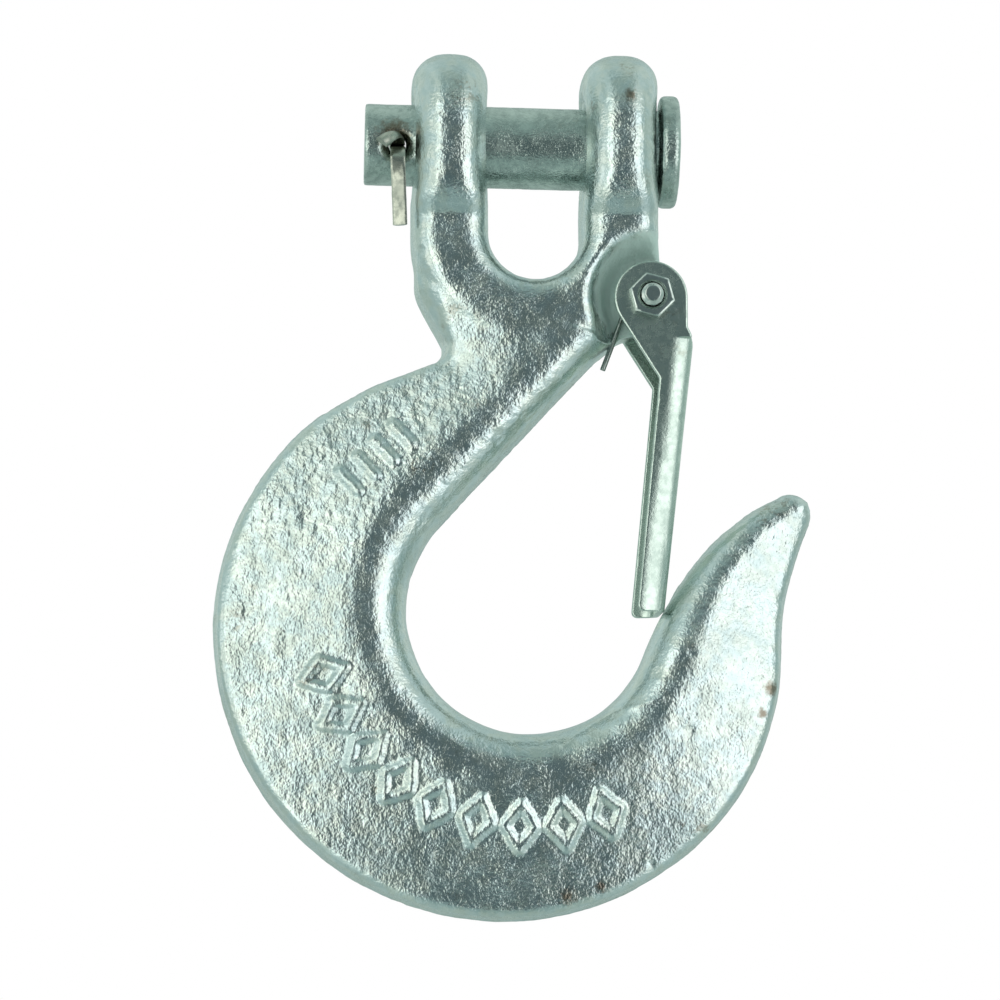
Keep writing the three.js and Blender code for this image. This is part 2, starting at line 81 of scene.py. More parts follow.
PIVOT = at(15.7, -21.5)
LUG_FRONT, LUG_REAR, LUG_RADIUS = -1.9, 5.1, 4.4
FRONT_RECESS, REAR_RECESS, RECESS_SLOPE, BOLT_HOLE_RADIUS = 5.9, 7.0, 0.36, 1.7


# Fields: a solid is an array of signed distances on a grid, meshed where it is zero

class Grid:
    def __init__(self, low, high, voxel):
        self.low, self.voxel = np.array(low, float), voxel
        self.shape = tuple(np.ceil((np.array(high) - low) / voxel).astype(int) + 1)
        axes = [self.low[i] + voxel * np.arange(self.shape[i], dtype=np.float32) for i in range(3)]
        mesh = np.meshgrid(*axes, indexing="ij", sparse=True)
        self.x, self.y, self.z = (a.astype(np.float32) for a in mesh)

    def transform(self):
        t = vdb.createLinearTransform(voxelSize=self.voxel)
        t.postTranslate(tuple(float(v) for v in self.low))
        return t

    def distance_to(self, points, quads, band):
        level = vdb.FloatGrid.createLevelSetFromPolygons(
            points.astype(np.float32), quads=quads.astype(np.uint32), transform=self.transform(),
            halfWidth=band / self.voxel)
        field = np.full(self.shape, band, np.float32)
        level.copyToArray(field)
        return field

    def mesh(self, field):
        edge = 3 * self.voxel
        grid = vdb.FloatGrid(edge)
        grid.copyFromArray(np.clip(field, -edge, edge).astype(np.float32))
        grid.transform = self.transform()
        points, quads = grid.convertToQuads(0.0)
        return points.astype(float), quads.astype(int)


def join(a, b, k):
    h = np.maximum(k - np.abs(a - b), 0) / k
    return np.minimum(a, b) - h * h * k / 4


def meet(a, b, k):
    return -join(-a, -b, k)


def cut(a, b, k):
    return meet(a, -b, k)


def polygon_distance(x, z, corners):
    """Signed distance in the XZ plane to a closed outline, negative inside."""
    best = np.full(np.broadcast(x, z).shape, 1e9)
    inside = np.zeros(best.shape, bool)
    for a, b in zip(corners, np.roll(corners, -1, axis=0)):
        ex, ez = b - a
        wx, wz = x - a[0], z - a[1]
        t = np.clip((wx * ex + wz * ez) / (ex * ex + ez * ez), 0, 1)
        best = np.minimum(best, (wx - ex * t) ** 2 + (wz - ez * t) ** 2)
        crosses = (a[1] > z) != (b[1] > z)
        side = wx * ez - wz * ex
        inside ^= crosses & ((side < 0) == (ez > 0))
    return np.where(inside, -1, 1) * np.sqrt(best)


# Curves

def arc(centre, radius, start, end, n=40):
    a = np.radians(np.linspace(start, end, n))
    return centre + radius * np.c_[np.cos(a), np.sin(a)]


def bezier(p0, p1, p2, p3, n=60):
    t = np.linspace(0, 1, n)[:, None]
    return (1 - t) ** 3 * p0 + 3 * (1 - t) ** 2 * t * p1 + 3 * (1 - t) * t * t * p2 + t ** 3 * p3


def spline(points, n=24):
    """A Catmull-Rom curve through points of any dimension, n steps between neighbours."""
    p = np.array(points, float)
    p = np.vstack([2 * p[0] - p[1], p, 2 * p[-1] - p[-2]])
    t = np.linspace(0, 1, n, endpoint=False)[:, None]
    out = []
    for a, b, c, d in zip(p, p[1:], p[2:], p[3:]):
        out.append(0.5 * (2 * b + (c - a) * t + (2 * a - 5 * b + 4 * c - d) * t ** 2
                          + (3 * b - a - 3 * c + d) * t ** 3))
    return np.vstack(out + [p[-2:-1]])


def evenly(points, n):
    step = np.r_[0, np.cumsum(np.linalg.norm(np.diff(points, axis=0), axis=1))]
    s = np.linspace(0, step[-1], n)
    return np.stack([np.interp(s, step, points[:, i]) for i in range(points.shape[1])], 1)


def around(centre, radius, angle):
    return arc(centre, radius, angle, angle, 1)[0]


def loft(rows):
    """Points and quads of a closed skin through rows of corners, its ends closed on their middles."""
    rows = np.array(rows, float)
    ends = [np.repeat(r.mean(0, keepdims=True), rows.shape[1], 0) for r in (rows[0], rows[-1])]
    rows = np.concatenate([ends[:1], rows, ends[1:]])
    n, m = rows.shape[:2]
    i, j = np.meshgrid(np.arange(n - 1), np.arange(m), indexing="ij")
    k = (j + 1) % m
    quads = np.stack([i * m + j, (i + 1) * m + j, (i + 1) * m + k, i * m + k], -1).reshape(-1, 4)
    return rows.reshape(-1, 3), quads


# Noise, as smooth random fields over points

def lattice(points, size, seed):
    """Smooth noise from -1 to 1 whose bumps are about size apart."""
    table = np.random.default_rng(seed).uniform(-1, 1, 4096)
    p = points / size + 100
    cell = np.floor(p).astype(np.int64)
    f = p - cell
    f = f * f * f * (f * (f * 6 - 15) + 10)
    total = 0
    for corner in range(8):
        o = np.array([corner & 1, corner >> 1 & 1, corner >> 2 & 1])
        c = cell + o
        key = (c[:, 0] * 73856093 ^ c[:, 1] * 19349663 ^ c[:, 2] * 83492791) & 4095
        w = np.prod(np.where(o, f, 1 - f), axis=1)
        total = total + w * table[key]
    return total


def cells(points, size, seed):
    """Distances, in sizes, to the nearest and second nearest of scattered points about size apart."""
    table = np.random.default_rng(seed).uniform(0, 1, (4096, 3))
    p = points / size + 100
    cell = np.floor(p).astype(np.int64)
    near = np.full(len(p), 9.0)
    second = near.copy()
    for i in range(27):
        c = cell + np.array([i % 3, i // 3 % 3, i // 9]) - 1
        key = (c[:, 0] * 73856093 ^ c[:, 1] * 19349663 ^ c[:, 2] * 83492791) & 4095
        d = np.linalg.norm(c + table[key] - p, axis=1)
        second = np.minimum(second, np.maximum(near, d))
        near = np.minimum(near, d)
    return near, second


# Meshes and objects

def make_object(name, points, faces, material, smooth_angle=None):
    mesh = bpy.data.meshes.new(name)
    mesh.from_pydata((np.array(points) * MM).tolist(), [], [list(map(int, f)) for f in faces])
    mesh.validate()
    mesh.update()
    mesh.shade_smooth()
    if smooth_angle:
        mesh.set_sharp_from_angle(angle=math.radians(smooth_angle))
    mesh.materials.append(material)
    obj = bpy.data.objects.new(name, mesh)
    bpy.context.scene.collection.objects.link(obj)
    return obj


def outward(points, quads):
    """Quads turned so that their skin faces out."""
    a, b, c = (points[quads[:, i]] for i in range(3))
    volume = np.einsum("ij,ij->i", a, np.cross(b, c)).sum()
    return quads if volume > 0 else quads[:, ::-1]


def normals_of(points, quads):
    d1 = points[quads[:, 2]] - points[quads[:, 0]]
    d2 = points[quads[:, 3]] - points[quads[:, 1]]
    face = np.cross(d1, d2)
    n = np.zeros_like(points)
    for i in range(4):
        for k in range(3):
            n[:, k] += np.bincount(quads[:, i], face[:, k], len(points))
    return n / np.maximum(np.linalg.norm(n, axis=1, keepdims=True), 1e-12)


def relax(points, quads, times, weight=None, share=0.5):
    """Moves each point towards the middle of its neighbours, fully where weight is 1."""
    ends = np.concatenate([quads[:, [i, (i + 1) % 4]] for i in range(4)])
    count = np.bincount(ends[:, 0], minlength=len(points))[:, None]
    weight = 1 if weight is None else weight[:, None]
    for _ in range(times):
        total = np.stack([np.bincount(ends[:, 0], points[ends[:, 1], k], len(points)) for k in range(3)], 1)
        points = points + share * weight * (total / count - points)
    return points


# The forging: clevis bar

def ear_depth(z):
    """Half depth: a squarish disc round the pin, longer below, that runs into the bar."""
    away = (z - EYE_CENTRE_Z) / (EYE_DEPTH if z > EYE_CENTRE_Z else -EYE_FALL)
    disc = EYE_DEPTH * max(1 - away ** EYE_ROUND, 0) ** (1 / EYE_ROUND)
    if z > EYE_CENTRE_Z:
        return disc
    h = max(EYE_FOOT_FILLET - abs(disc - BAR_DEPTH), 0) / EYE_FOOT_FILLET
    return max(disc, BAR_DEPTH) + h * h * EYE_FOOT_FILLET / 4


def ear_half_width(z):
    rise = max(z - DOME_START_Z, 0) / (EAR_TOP_Z - DOME_START_Z)
    return EAR_HALF_WIDTH * max(1 - rise ** DOME_POWER, 0) ** (1 / DOME_POWER)


def ear_power(z):
    return EYE_POWER + (BAR_POWER - EYE_POWER) * min(max((EYE_FOOT_Z - z) / EYE_FOOT_DEPTH, 0), 1)


def bar_row(centre, outward_way, half_width, depth, power, sides=96):
    a = np.linspace(0, 2 * np.pi, sides, endpoint=False)
    out = half_width * np.sign(np.cos(a)) * np.abs(np.cos(a)) ** (2 / power)
    y = depth * np.sign(np.sin(a)) * np.abs(np.sin(a)) ** (2 / power)
    return np.c_[centre[0] + outward_way[0] * out, y, centre[1] + outward_way[1] * out]


def clevis_bar():
    dome = DOME_START_Z + (EAR_TOP_Z - DOME_START_Z) * np.sin(np.linspace(1.55, 0, 24))
    heights = np.r_[dome, np.linspace(DOME_START_Z, SLOT_CENTRE_Z, 50)[1:-1]]

    def ear(side):
        return [bar_row(at(side * BAR_RADIUS, z), at(side, 0), ear_half_width(z), ear_depth(z), ear_power(z))
                for z in heights]

    crotch = []
    for a in np.radians(np.linspace(180, 360, 60)):
        way = at(math.cos(a), math.sin(a))
        centre = way * BAR_RADIUS + at(0, SLOT_CENTRE_Z)
        crotch.append(bar_row(centre, way, EAR_HALF_WIDTH, BAR_DEPTH, BAR_POWER))
    return loft(ear(-1) + crotch + ear(1)[::-1])


# The forging: shank, bowl and tip, between the throat's line and the back's line

STATIONS = {  # half thickness at the crest and at the back edge, and the crest's distance from the throat
    "yoke": (9.0, 8.2, 5.8), "neck": (9.0, 7.2, 6.0), "shoulder": (9.0, 5.9, 7.4),
    "heel": (8.2, 4.6, 5.8), "nose": (4.2, 3.2, 2.9), "end": (0.0, 0.0, 0.0),
}


def half_section(width, crest, edge, crest_at):
    """From the throat over the crest to the back, as (across, depth)."""
    v = np.linspace(0, 0.79, 9)
    steep = np.c_[1 - (1 - v ** CREST_POWER) ** (1 / CREST_POWER), v]
    u = np.linspace(steep[-1, 0], 1, 10)[1:]
    flat = np.c_[u, (1 - (1 - u) ** CREST_POWER) ** (1 / CREST_POWER)]
    round_side = np.vstack([steep, flat]) * [crest_at, crest]
    corner = at(width - edge * DRAFT, edge)
    soft = 0.8 * min(crest_at / 6, 1)
    reach = corner[0] - crest_at
    size = min(EDGE_ROUND, edge / 2, max(reach, 0.01) * 0.6)
    slope = (crest - edge) / (math.hypot(reach, soft) - soft)
    d = np.linspace(0, reach - size, 12)[1:]
    flank = np.c_[crest_at + d, crest - slope * (np.hypot(d, soft) - soft)]
    before = flank[-1]
    foot = at(width, 0)
    after = corner + (foot - corner) * min(size / max(np.linalg.norm(foot - corner), 1e-6), 0.6)
    t = np.linspace(0, 1, 7)[1:, None]
    bend = (1 - t) ** 2 * before + 2 * t * (1 - t) * corner + t * t * after
    return np.vstack([round_side, flank, bend, [(after + foot) / 2, foot]])


def hook_row(throat, back, crest, edge, crest_at):
    width = np.linalg.norm(back - throat)
    inward = (back - throat) / width
    half = half_section(width, crest, edge, crest_at)
    ring = np.vstack([half, half[-2:0:-1] * [1, -1]])
    return np.c_[throat[0] + inward[0] * ring[:, 0], -ring[:, 1], throat[1] + inward[1] * ring[:, 0]]


def hook_bow():
    shoulder_centre = around(BACK_CENTRE, BACK_RADIUS - SHOULDER_RADIUS, SHOULDER_JOIN)
    heel_centre = around(BACK_CENTRE, BACK_RADIUS - HEEL_RADIUS, HEEL_JOIN)
    bowl_start, bowl_end = (around(BOWL_CENTRE, BOWL_RADIUS, a) for a in (BOWL_START, BOWL_END))
    back_start = around(shoulder_centre, SHOULDER_RADIUS, SHOULDER_START)
    heel_end = around(heel_centre, HEEL_RADIUS, 360)
    nose_throat, nose_back = (around(NOSE_CENTRE, NOSE_RADIUS, a) for a in (NOSE_THROAT, NOSE_BACK))
    back_of_bowl = np.vstack([
        arc(shoulder_centre, SHOULDER_RADIUS, SHOULDER_START, SHOULDER_JOIN),
        arc(BACK_CENTRE, BACK_RADIUS, SHOULDER_JOIN, HEEL_JOIN, 90)[1:],
        arc(heel_centre, HEEL_RADIUS, HEEL_JOIN, 360)[1:]])
    legs = [
        (np.array([THROAT_TOP, NECK_THROAT]), np.array([at(-15.0, -20.5), NECK_BACK]), "yoke", "neck", 30),
        (np.array([NECK_THROAT, bowl_start]),
         spline([NECK_BACK, at(-13.1, -29.5), at(-16.3, -31.0), at(-23, -33.7), back_start]),
         "neck", "shoulder", 40),
        (arc(BOWL_CENTRE, BOWL_RADIUS, BOWL_START, BOWL_END, 120), back_of_bowl, "shoulder", "heel", 150),
        (bezier(bowl_end, at(16.7, -65.7), at(21.9, -53.5), nose_throat),
         bezier(heel_end, at(33.6, -63.2), at(35.6, -56.9), nose_back), "heel", "nose", 50),
        (arc(NOSE_CENTRE, NOSE_RADIUS, NOSE_THROAT, NOSE_TIP),
         arc(NOSE_CENTRE, NOSE_RADIUS, NOSE_BACK, NOSE_TIP), "nose", "end", 24),
    ]
    rows = []
    for throat, back, start, end, n in legs:
        throat, back = evenly(throat, n + 1), evenly(back, n + 1)
        for i in range(n):
            share = i / n
            fade = share if end != "end" else 1 - math.sqrt(1 - share ** 2)
            crest, edge, crest_at = (a + (b - a) * fade for a, b in zip(STATIONS[start], STATIONS[end]))
            rows.append(hook_row(throat[i], back[i], crest, edge, crest_at))
    return loft(rows)


# The forging: the lug between the latch's cheeks, and everything joined

LUG_OUTLINE = np.vstack([
    [(2, -25), (8, -14), (16.4, -13.4), (17.3, -16.4), (19.4, -19.2)],
    arc(PIVOT, LUG_RADIUS, 32, -62, 14), [(13.4, -26.2), (11.2, -26.6), (9, -28)]])
RECESSES = ((LUG_FRONT, -1, FRONT_RECESS), (LUG_REAR, 1, REAR_RECESS))
KNEE_ROOM, KNEE_ROOM_Z = 1.5, -24.3  # the recess widens below this, where the latch's knee swings past
FLOOR_FILLET, FLOOR_FILLET_HEIGHT = 0.5, 0.4
BAND = 5.5  # how far from a skin its distances are kept


def recess(out, from_pivot, radius, room):
    """A cone's frustum that opens outwards from the lug's face; out is the height above that face."""
    return np.maximum((from_pivot - radius - RECESS_SLOPE * out - room) * 0.94, -out)


def forging_field(grid):
    x, y, z = grid.x, grid.y, grid.z
    fillet = 0.3 + (3.1 + 2.0 * np.clip(-x / 6, 0, 1)) * np.clip((8.4 - np.abs(y)) / 3, 0, 1)
    field = join(grid.distance_to(*clevis_bar(), BAND), grid.distance_to(*hook_bow(), BAND), fillet)
    from_pivot = np.hypot(x - PIVOT[0], z - PIVOT[1])
    for face, side, radius in RECESSES:
        field = cut(field, recess(side * (y - face), from_pivot, radius, 0), 1.4)
    outline = polygon_distance(x, z, LUG_OUTLINE)
    middle = (LUG_FRONT + LUG_REAR) / 2
    plate = meet(outline, np.abs(y - middle) - (LUG_REAR - LUG_FRONT) / 2, 0.8)
    field = join(field, plate, 1.6)
    for face, side, radius in RECESSES:
        out = side * (y - face)
        room = KNEE_ROOM * np.clip((KNEE_ROOM_Z - z) / 3, 0, 1)
        room = room - FLOOR_FILLET * np.clip(1 - out / FLOOR_FILLET_HEIGHT, 0, 1)
        field = cut(field, recess(out, from_pivot, radius, room), 0.3)
    from_pin = np.hypot(y, z)
    field = cut(field, from_pin - PIN_HOLE_RADIUS + 0 * x, 0.5)
    outer = BAR_RADIUS + EAR_HALF_WIDTH - SPOT_FACE_CUT
    for gap in (np.abs(x) - SLOT_HALF - SPOT_FACE_CUT, outer - np.abs(x)):
        field = cut(field, np.maximum(from_pin - SPOT_FACE_RADIUS, gap), 0.25)
    return cut(field, from_pivot - BOLT_HOLE_RADIUS + 0 * y, 0.3)


# Raised marks on the front: plain lozenges and bars, where such hooks carry their forge's marks

MARK_HEIGHT, MARK_STROKE = 0.37, 0.62
MARK_RING, MARK_FIRST, MARK_LAST, MARK_COUNT = 29.4, 198, 290, 9


def mark_strokes():
    """Strokes as pairs of ends in XZ; each mark is drawn upright and then turned to face the bowl."""
    lozenge = [((-2.1, 0), (0, 3.0)), ((0, 3.0), (2.1, 0)), ((2.1, 0), (0, -3.0)), ((0, -3.0), (-2.1, 0))]
    strokes = []

    def place(mark, centre, turn):
        c, s = math.cos(math.radians(turn)), math.sin(math.radians(turn))
        for a, b in mark:
            strokes.append([centre + at(c * px - s * pz, s * px + c * pz) for px, pz in (a, b)])

    for angle in np.linspace(MARK_FIRST, MARK_LAST, MARK_COUNT):
        place(lozenge, around(BOWL_CENTRE, MARK_RING, angle), angle + 90)
    for across in np.linspace(-4.8, 4.8, 4):
        place([((0, -1.9), (0, 1.9))], at(-21.8, -43.9) + across * at(0.74, 0.67), 42)
    return strokes


def mark_relief(points, normals):
    front = np.flatnonzero((normals[:, 1] < -0.6))
    p = points[front][:, [0, 2]]
    nearest = np.full(len(front), 9.0)
    wobble = 0.12 * lattice(points[front], 0.9, 61)
    for a, b in mark_strokes():
        e = b - a
        t = np.clip(((p - a) @ e) / (e @ e), 0, 1)
        nearest = np.minimum(nearest, np.linalg.norm(p - a - t[:, None] * e, axis=1))
    rise = np.clip((MARK_STROKE + 0.34 + wobble - nearest) / 0.78, 0, 1)
    groove = np.exp(-((nearest - MARK_STROKE - 0.62) / 0.3) ** 2)
    relief = np.zeros(len(points))
    relief[front] = MARK_HEIGHT * rise * rise * (3 - 2 * rise) - 0.03 * groove
    return relief


# The forging's skin

FOLD = [at(3.6, -82.6), at(8.9, -78.9), at(13.2, -77.4), at(16.6, -76.3)]  # a lap left by trimming
FOLD_HEIGHT, FOLD_HALF_WIDTH = 0.16, 0.32
BROAD_WAVES = [(9.0, 41, 0.085), (4.2, 42, 0.04), (2.2, 43, 0.022)]  # size, seed, height


def distance_to_fold(points):
    distance = np.full(len(points), 9.0)
    close = np.flatnonzero((points[:, 1] < -2) & (np.abs(points[:, 2] + 79) < 6) & (points[:, 0] > 0))
    for spot in evenly(spline(FOLD, 12), 40):
        away = np.hypot(points[close, 0] - spot[0], points[close, 2] - spot[1])
        distance[close] = np.minimum(distance[close], away)
    return distance


def forging_relief(points):
    """How far the blasted, hammered skin stands out of the smooth shape."""
    throat = np.hypot(points[:, 0] - BOWL_CENTRE[0], points[:, 2] - BOWL_CENTRE[1])
    rubbed = 1 - 0.55 * np.exp(-(((throat - BOWL_RADIUS) / 1.6) ** 2)) * (points[:, 2] < -52)
    rubbed += 1.2 * np.clip((points[:, 2] + 58) / 6, 0, 1) * np.clip((-28 - points[:, 2]) / 8, 0, 1)
    warped = points + 0.5 * np.stack([lattice(points, 1.7, s) for s in (11, 12, 13)], 1)
    near, second = cells(warped, 1.15, 21)
    dents = (second - near - 0.35) * 0.026
    crumple = -np.abs(lattice(warped, 0.95, 31)) * 0.034 + lattice(points, 0.62, 32) * 0.008
    broad = sum(lattice(points, size, seed) * depth for size, seed, depth in BROAD_WAVES)
    fold = FOLD_HEIGHT * np.exp(-((distance_to_fold(points) / FOLD_HALF_WIDTH) ** 2))
    fold = fold * (0.7 + 0.6 * lattice(points, 1.3, 45))
    pits = -0.16 * np.clip(lattice(points, 2.6, 51) - 0.72, 0, 1) * 3
    return (dents + crumple) * rubbed + (broad + fold) + pits


def forging():
    voxel = 0.27
    grid = Grid((-45, -13.3, -108), (39.6, 13.3, 14.8), voxel)
    points, quads = grid.mesh(forging_field(grid))
    quads = outward(points, quads)
    points = relax(points, quads, 2)
    normals = normals_of(points, quads)
    relief = forging_relief(points)
    bore = (np.hypot(points[:, 1], points[:, 2]) < SPOT_FACE_RADIUS + 0.3) & (points[:, 2] < 8)
    lug = np.hypot(points[:, 0] - PIVOT[0], points[:, 2] - PIVOT[1]) < FRONT_RECESS
    relief[bore] *= 0.15
    relief[lug] *= 0.4
    seam = np.exp(-((points[:, 1] / 0.32) ** 2)) * (points[:, 2] < -30)
    relief += seam * (0.10 + 0.05 * lattice(points, 3.0, 71))
    return points + normals * (relief + mark_relief(points, normals))[:, None], quads


# Latch: a pressed channel of sheet, open to the throat, on the pivot

SHEET, LATCH_HALF, LATCH_RADIUS = 1.0, 6.5, 5.0
BEND_ACROSS, BEND_DEEP = 3.4, 1.8  # the bends at the web are ovals
LATCH_KNEE, LATCH_BOTTOM_Z, LATCH_TOE_X = at(16.8, -32.6), -64.4, 13.8
WEB_FOOT, WEB_HEAD, WEB_TOP_Z = at(17.5, -64.4), at(21.5, -28.3), -26.6
LATCH_SPREAD = 0.14


def cheek_outline():
    reach = np.linalg.norm(PIVOT - LATCH_KNEE)
    to_knee = math.degrees(math.atan2(*(LATCH_KNEE - PIVOT)[::-1])) % 360
    touch = to_knee - math.degrees(math.acos(LATCH_RADIUS / reach))
    corner = bezier(at(LATCH_TOE_X, LATCH_BOTTOM_Z + 0.9), at(LATCH_TOE_X, LATCH_BOTTOM_Z + 0.3),
                    at(LATCH_TOE_X + 0.3, LATCH_BOTTOM_Z), at(LATCH_TOE_X + 0.9, LATCH_BOTTOM_Z), 8)
    shoulder = bezier(WEB_HEAD, at(WEB_HEAD[0], -27.4), at(WEB_HEAD[0] - 0.2, -26.6),
                      at(PIVOT[0] + LATCH_RADIUS, -25.6), 12)
    return np.vstack([corner, WEB_FOOT, shoulder, arc(PIVOT, LATCH_RADIUS, 0, touch, 60), LATCH_KNEE])


def latch_relief(points):
    """Draw lines along the cheeks, slight waves and handling dents."""
    waves = lattice(points * [1, 1, 0.35], 4.5, 86) * 0.012
    draw = lattice(points * [1, 1, 0.2], 0.8, 87) * 0.003
    dents = -0.05 * np.clip(lattice(points, 1.8, 88) - 0.6, 0, 1) * 2.5
    return waves + draw + dents


def latch_mesh():
    grid = Grid((9.8, -7.1, -65.2), (22.4, 7.1, -15.8), 0.14)
    x, y, z = grid.x, grid.y, grid.z
    along = (WEB_HEAD - WEB_FOOT) / np.linalg.norm(WEB_HEAD - WEB_FOOT)
    out = (x - WEB_FOOT[0]) * along[1] - (z - WEB_FOOT[1]) * along[0]
    u, v = (out + BEND_ACROSS) / BEND_ACROSS, (np.abs(y) - LATCH_HALF + BEND_DEEP) / BEND_DEEP
    oval, steep = np.hypot(u, v), np.hypot(u / BEND_ACROSS, v / BEND_DEEP)
    flat = np.maximum(out, np.abs(y) - LATCH_HALF)
    channel = np.where((u > 0) & (v > 0), (oval - 1) * oval / np.maximum(steep, 1e-6), flat)
    pressed = meet(np.maximum(channel, -channel - SHEET), z - WEB_TOP_Z, 0.15)
    cheeks = np.maximum(np.abs(np.abs(y) - LATCH_HALF + SHEET / 2) - SHEET / 2, WEB_TOP_Z - 0.4 - z)
    field = meet(np.minimum(pressed, cheeks), polygon_distance(x, z, cheek_outline()), 0.14)
    field = cut(field, np.hypot(x - PIVOT[0], z - PIVOT[1]) - BOLT_HOLE_RADIUS, 0.15)
    points, quads = grid.mesh(field)
    quads = outward(points, quads)
    points = relax(points, quads, 1)
    points = points + normals_of(points, quads) * latch_relief(points)[:, None]
    share = np.clip((WEB_TOP_Z - 6 - points[:, 2]) / 26, 0, 1)
    spread = LATCH_SPREAD * share * share * (3 - 2 * share) * np.clip(WEB_FOOT[0] - points[:, 0], 0, None)
    spread = np.where(points[:, 1] < 0, spread, 0.25 * spread)
    points[:, 1] += np.sign(points[:, 1]) * spread * np.clip(np.abs(points[:, 1]) / 4 - 0.25, 0, 1)
    return points, quads


# Clevis pin: turned, headed, with a cross hole whose rim is worn round

PIN_RADIUS, PIN_END, PIN_SHOULDER, PIN_HEAD_END, PIN_HEAD_RADIUS = 5.6, -23.3, 17.2, 19.8, 7.75
PIN_TILT = math.radians(1.07)
CROSS_X, CROSS_RADIUS, CROSS_BORE, CROSS_DROOP = -18.8, 2.3, 1.25, math.radians(12)


def tilted(points):
    c, s = math.cos(PIN_TILT), math.sin(PIN_TILT)
    return np.c_[points[:, 0] * c + points[:, 2] * s, points[:, 1], points[:, 2] * c - points[:, 0] * s]


def clevis_pin_mesh():
    grid = Grid((-24.2, -8.6, -8.6), (20.8, 8.6, 8.6), 0.2)
    x, y, z = grid.x, grid.y, grid.z
    rho = np.hypot(y, z)
    shank = meet(rho - PIN_RADIUS, np.maximum(PIN_END - x, x - PIN_SHOULDER - 1), 0.35)
    middle = (PIN_SHOULDER + PIN_HEAD_END) / 2
    head = meet(rho - PIN_HEAD_RADIUS, np.abs(x - middle) - (PIN_HEAD_END - PIN_SHOULDER) / 2, 0.9)
    across = z * math.cos(CROSS_DROOP) - y * math.sin(CROSS_DROOP)
    forward = -y * math.cos(CROSS_DROOP) - z * math.sin(CROSS_DROOP)
    mouth = CROSS_RADIUS - 0.75 * np.maximum(PIN_RADIUS - np.abs(forward), 0)
    hole = (np.hypot(x - CROSS_X, across) - np.maximum(mouth, CROSS_BORE)) * 0.8
    field = cut(join(shank, head, 0.5), hole, 0.5)
    points, quads = grid.mesh(field)
    quads = outward(points, quads)
    points = relax(points, quads, 1)
    normals = normals_of(points, quads)
    skin = lattice(points, 1.0, 81) * 0.014 + lattice(points, 0.55, 82) * 0.008
    skin += lattice(points, 5.0, 83) * 0.03
    dents = -0.10 * np.clip(lattice(points, 1.9, 84) - 0.66, 0, 1) * 2
    return tilted(points + normals * (skin + dents)[:, None]), quads


# Split pin and spring: a section carried along a path

def sweep(path, section, width):
    """The section's first number lies along width, its second square to it and to the path."""
    tangent = np.gradient(path, axis=0)
    tangent /= np.linalg.norm(tangent, axis=1, keepdims=True)
    wide = width - tangent * (tangent * width).sum(1)[:, None]
    wide /= np.linalg.norm(wide, axis=1, keepdims=True)
    deep = np.cross(tangent, wide)
    points, quads = loft([c + np.outer(section[:, 0], w) + np.outer(section[:, 1], d)
                          for c, w, d in zip(path, wide, deep)])
    return points, outward(points, quads)


COTTER_RADIUS, COTTER_GAP, COTTER_BEND, COTTER_REACH, COTTER_EYE = 1.0, 0.08, 2.1, 5.4, 1.5
COTTER_EYE_AT, COTTER_TIP, COTTER_LEAN, COTTER_TURN = -8.6, -12.2, 0.5, math.radians(12)
COTTER_SHORT_LEG = [(-0.15, 5.5, 0.8), (-0.7, 6.7, 1.15), (-1.5, 7.6, 0.95), (-2.3, 8.2, 0.4)]


def split_pin_mesh():
    c, s = math.cos(CROSS_DROOP), math.sin(CROSS_DROOP)

    def point(x, forward, up):
        return [CROSS_X + x, -forward * c - up * s, -forward * s + up * c]

    g = COTTER_GAP
    bent = [point(0, COTTER_REACH + COTTER_BEND * math.sin(a), -g - COTTER_BEND * (1 - math.cos(a)))
            for a in np.linspace(0, math.pi / 2 - CROSS_DROOP, 5)]
    knee = bent[-1]
    drop = COTTER_TIP - knee[2]
    leg = [[knee[0] + COTTER_LEAN * t, knee[1], knee[2] + drop * t] for t in (1, 0.66, 0.33)]
    loop = [point(0, COTTER_EYE_AT - COTTER_EYE * math.cos(a), COTTER_EYE * math.sin(a))
            for a in np.radians(np.arange(-120, 121, 30))]
    route = (leg + bent[::-1] + [point(0, 2, -g), point(0, -2, -g), point(0, -5.8, -g)] + loop
             + [point(0, -5.8, g), point(0, -2, g), point(0, 2, g), point(0, 4.3, g + 0.15)]
             + [point(*p) for p in COTTER_SHORT_LEG])
    a = np.linspace(0, math.pi, 17)
    flat = np.c_[np.linspace(-0.95, 0.95, 7), np.full(7, -0.03)]
    section = np.vstack([np.c_[np.cos(a), np.sin(a)], flat]) * COTTER_RADIUS
    path = evenly(spline(route, 10), 260)
    turn = COTTER_TURN * np.clip((knee[2] - path[:, 2]) / 2.5, 0, 1)
    width = np.c_[np.cos(turn), -np.sin(turn), 0 * turn]
    points, quads = sweep(path, section, width)
    nicks = lattice(points, 0.9, 91) * 0.02 + lattice(points, 0.4, 92) * 0.008
    return tilted(points + normals_of(points, quads) * nicks[:, None]), quads


COIL_RADIUS, ARM_Y, TAIL_Y, COIL_TURNS = 2.62, -4.9, -2.5, 2
COIL_START, COIL_END, WIRE_RADIUS = 2.6, 160.5, 0.375
SPRING_TAIL, SPRING_ARM, ARM_END_Y = at(9.3, -31.1), at(18.9, -36.5), -3.6


